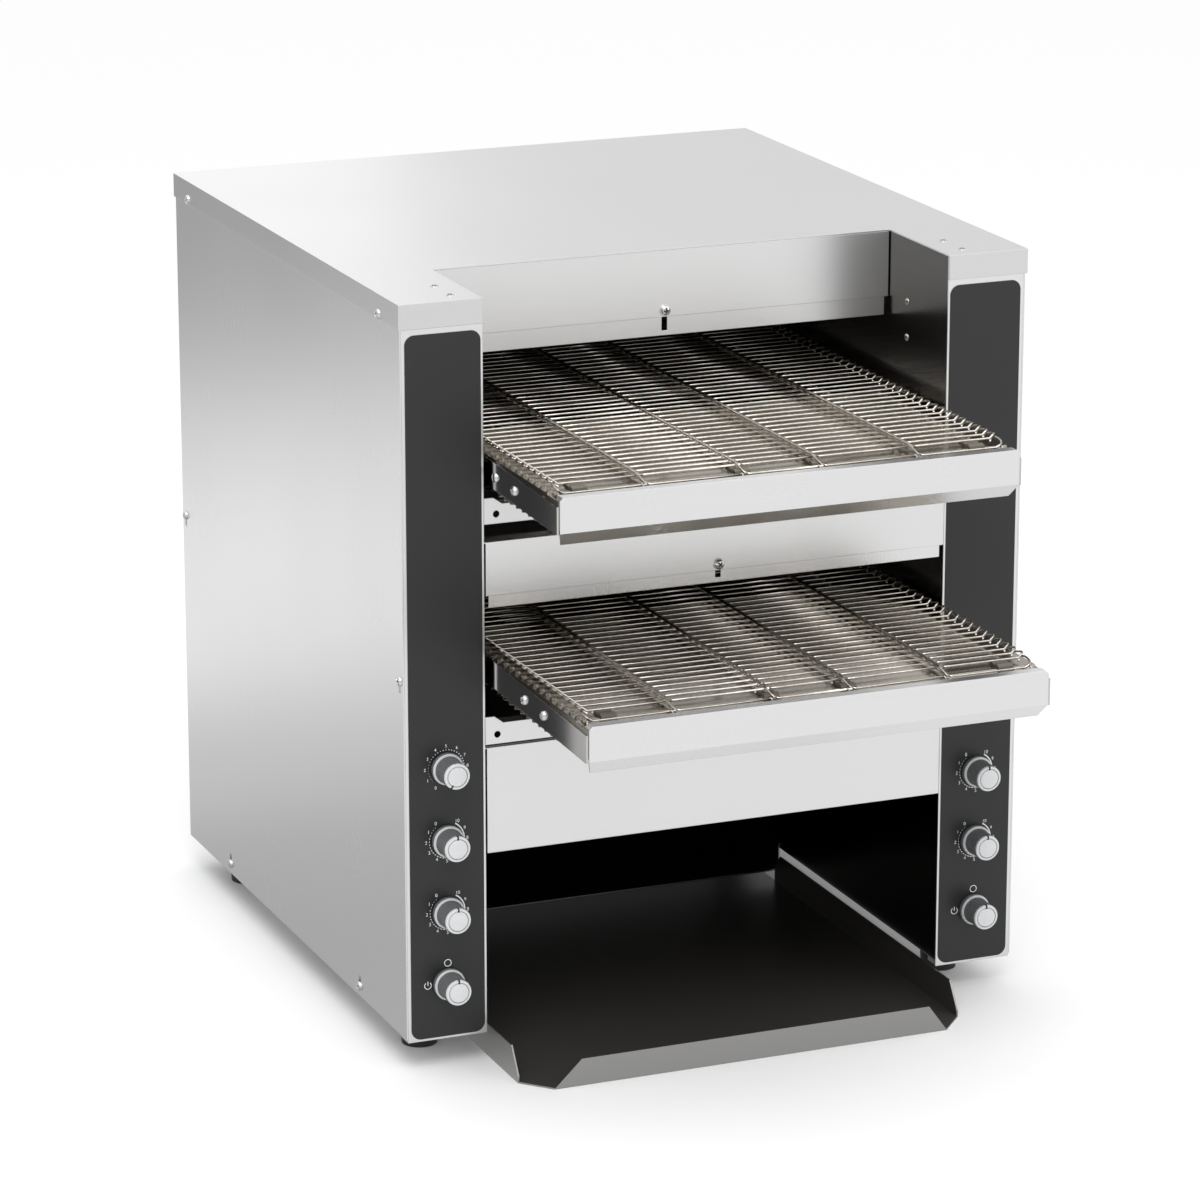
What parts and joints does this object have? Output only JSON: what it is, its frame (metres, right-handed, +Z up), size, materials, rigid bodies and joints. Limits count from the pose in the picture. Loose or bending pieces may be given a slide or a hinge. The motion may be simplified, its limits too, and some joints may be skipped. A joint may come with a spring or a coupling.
{
  "type": "conveyor toaster",
  "caption": "Countertop conveyor toaster with stacked decks: wire belts carry bread through heated chambers and a rear chute drops toast onto a pull-out tray.",
  "frame": {"origin": "on the table, under the middle of the whole outline", "axes": "+Z up, the loading side faces -Y, +X is the right-hand side seen from the front"},
  "size_m": [0.5188, 0.737, 0.5996],
  "materials": {
    "stainless_casing": "brushed",
    "stainless_liner": "smooth, reflective",
    "overlay_black": "satin film",
    "knob_grey": "satin",
    "belt_wire": "drawn wire",
    "bright_steel": "polished",
    "wheel_steel": "machined",
    "heater_sheath": "oxidised",
    "foot_rubber": "matte",
    "control_plastic": "matte",
    "motor_casting": "cast",
    "bushing_bronze": "turned"
  },
  "bodies": {
    "casing": {"left_side_panel": "stainless_casing", "right_side_panel": "stainless_casing", "back_panel": "stainless_casing", "top_cover": "stainless_casing", "base_plate": "stainless_casing", "left_column_front": "stainless_casing", "right_column_front": "stainless_casing", "upper_fascia": "stainless_casing", "middle_fascia": "stainless_casing", "lower_front_panel": "stainless_casing", "upper_front_rail": "stainless_casing", "lower_front_rail": "stainless_casing", "upper_cross_beam": "stainless_casing", "lower_cross_beam": "stainless_casing", "upper_pan": "stainless_casing", "lower_pan": "stainless_casing", "left_inner_wall": "stainless_liner", "right_inner_wall": "stainless_liner", "chamber_roof": "stainless_liner", "chamber_divider": "stainless_liner", "chamber_floor": "stainless_liner", "rear_chute": "stainless_liner", "upper_side_plates": "stainless_liner", "lower_side_plates": "stainless_liner", "control_overlays": "overlay_black", "upper_belt": "belt_wire", "lower_belt": "belt_wire", "pan_head_screws": "bright_steel", "cover_rivets": "bright_steel", "drive_chains": "wheel_steel", "upper_heaters": "heater_sheath", "lower_heaters": "heater_sheath", "feet": "foot_rubber", "rotary_controls": "control_plastic", "fan_housing": "control_plastic", "cable_gland": "control_plastic", "gear_motors": "motor_casting", "shaft_bushings": "bushing_bronze"},
    "upper_idler": {"upper_idler_shaft": "bright_steel", "upper_idler_sprockets": "wheel_steel"},
    "lower_idler": {"lower_idler_shaft": "bright_steel", "lower_idler_sprockets": "wheel_steel"},
    "upper_drive": {"upper_drive_shaft": "bright_steel", "upper_drive_sprockets": "wheel_steel"},
    "lower_drive": {"lower_drive_shaft": "bright_steel", "lower_drive_sprockets": "wheel_steel"},
    "upper_motor": {"upper_motor_wheel": "wheel_steel"},
    "lower_motor": {"lower_motor_wheel": "wheel_steel"},
    "fan": {"fan_rotor": "control_plastic"},
    "upper_shield": {"upper_height_shield": "stainless_casing"},
    "lower_shield": {"lower_height_shield": "stainless_casing"},
    "tray": {"toast_tray": "stainless_casing"},
    "upper_speed": {"upper_speed_knob": "knob_grey"},
    "upper_top_heat": {"upper_top_heat_knob": "knob_grey"},
    "upper_bottom_heat": {"upper_bottom_heat_knob": "knob_grey"},
    "upper_power": {"upper_power_knob": "knob_grey"},
    "lower_speed": {"lower_speed_knob": "knob_grey"},
    "lower_top_heat": {"lower_top_heat_knob": "knob_grey"},
    "lower_bottom_heat": {"lower_bottom_heat_knob": "knob_grey"},
    "lower_power": {"lower_power_knob": "knob_grey"}
  },
  "joints": [
    {"name": "upper_drive_spin", "type": "hinge", "parent": "casing", "child": "upper_drive", "pos_m": [0, 0.22048, 0.46632], "axis": [1, 0, 0], "continuous": true},
    {"name": "upper_idler_spin", "type": "hinge", "parent": "casing", "child": "upper_idler", "pos_m": [0, -0.28352, 0.46632], "axis": [1, 0, 0], "continuous": true},
    {"name": "upper_motor_spin", "type": "hinge", "parent": "casing", "child": "upper_motor", "pos_m": [0.2077, 0.22048, 0.37107], "axis": [1, 0, 0], "continuous": true},
    {"name": "lower_drive_spin", "type": "hinge", "parent": "casing", "child": "lower_drive", "pos_m": [0, 0.22548, 0.31032], "axis": [1, 0, 0], "continuous": true},
    {"name": "lower_idler_spin", "type": "hinge", "parent": "casing", "child": "lower_idler", "pos_m": [0, -0.33852, 0.31032], "axis": [1, 0, 0], "continuous": true},
    {"name": "lower_motor_spin", "type": "hinge", "parent": "casing", "child": "lower_motor", "pos_m": [0.2077, 0.22548, 0.21507], "axis": [1, 0, 0], "continuous": true},
    {"name": "fan_spin", "type": "hinge", "parent": "casing", "child": "fan", "pos_m": [-0.22315, 0.3415, 0.38], "axis": [0, 1, 0], "continuous": true},
    {"name": "upper_speed_turn", "type": "hinge", "parent": "casing", "child": "upper_speed", "pos_m": [-0.2223, -0.1785, 0.2404], "axis": [0, 1, 0], "range_deg": [0, 300]},
    {"name": "upper_top_heat_turn", "type": "hinge", "parent": "casing", "child": "upper_top_heat", "pos_m": [-0.2223, -0.1785, 0.1832], "axis": [0, -1, 0], "range_deg": [0, 330]},
    {"name": "upper_bottom_heat_turn", "type": "hinge", "parent": "casing", "child": "upper_bottom_heat", "pos_m": [-0.2223, -0.1785, 0.126], "axis": [0, -1, 0], "range_deg": [0, 330]},
    {"name": "upper_power_turn", "type": "hinge", "parent": "casing", "child": "upper_power", "pos_m": [-0.2223, -0.1785, 0.0686], "axis": [0, -1, 0], "range_deg": [0, 90]},
    {"name": "lower_speed_turn", "type": "hinge", "parent": "casing", "child": "lower_speed", "pos_m": [0.2223, -0.1785, 0.2404], "axis": [0, 1, 0], "range_deg": [0, 300]},
    {"name": "lower_top_heat_turn", "type": "hinge", "parent": "casing", "child": "lower_top_heat", "pos_m": [0.2223, -0.1785, 0.1832], "axis": [0, -1, 0], "range_deg": [0, 330]},
    {"name": "lower_bottom_heat_turn", "type": "hinge", "parent": "casing", "child": "lower_bottom_heat", "pos_m": [0.2223, -0.1785, 0.126], "axis": [0, -1, 0], "range_deg": [0, 330]},
    {"name": "lower_power_turn", "type": "hinge", "parent": "casing", "child": "lower_power", "pos_m": [0.2223, -0.1785, 0.0686], "axis": [0, -1, 0], "range_deg": [0, 90]},
    {"name": "upper_shield_slide", "type": "slide", "parent": "casing", "child": "upper_shield", "axis": [0, 0, 1], "range_m": [-0.014, 0.011]},
    {"name": "lower_shield_slide", "type": "slide", "parent": "casing", "child": "lower_shield", "axis": [0, 0, 1], "range_m": [-0.014, 0.008]},
    {"name": "tray_pull", "type": "slide", "parent": "casing", "child": "tray", "axis": [0, -1, 0], "range_m": [0, 0.3]}
  ],
  "couplings": [
    {"joint": "upper_idler_spin", "follows": "upper_drive_spin", "ratio": 1},
    {"joint": "upper_motor_spin", "follows": "upper_drive_spin", "ratio": 1},
    {"joint": "lower_idler_spin", "follows": "lower_drive_spin", "ratio": 1},
    {"joint": "lower_motor_spin", "follows": "lower_drive_spin", "ratio": 1}
  ]
}
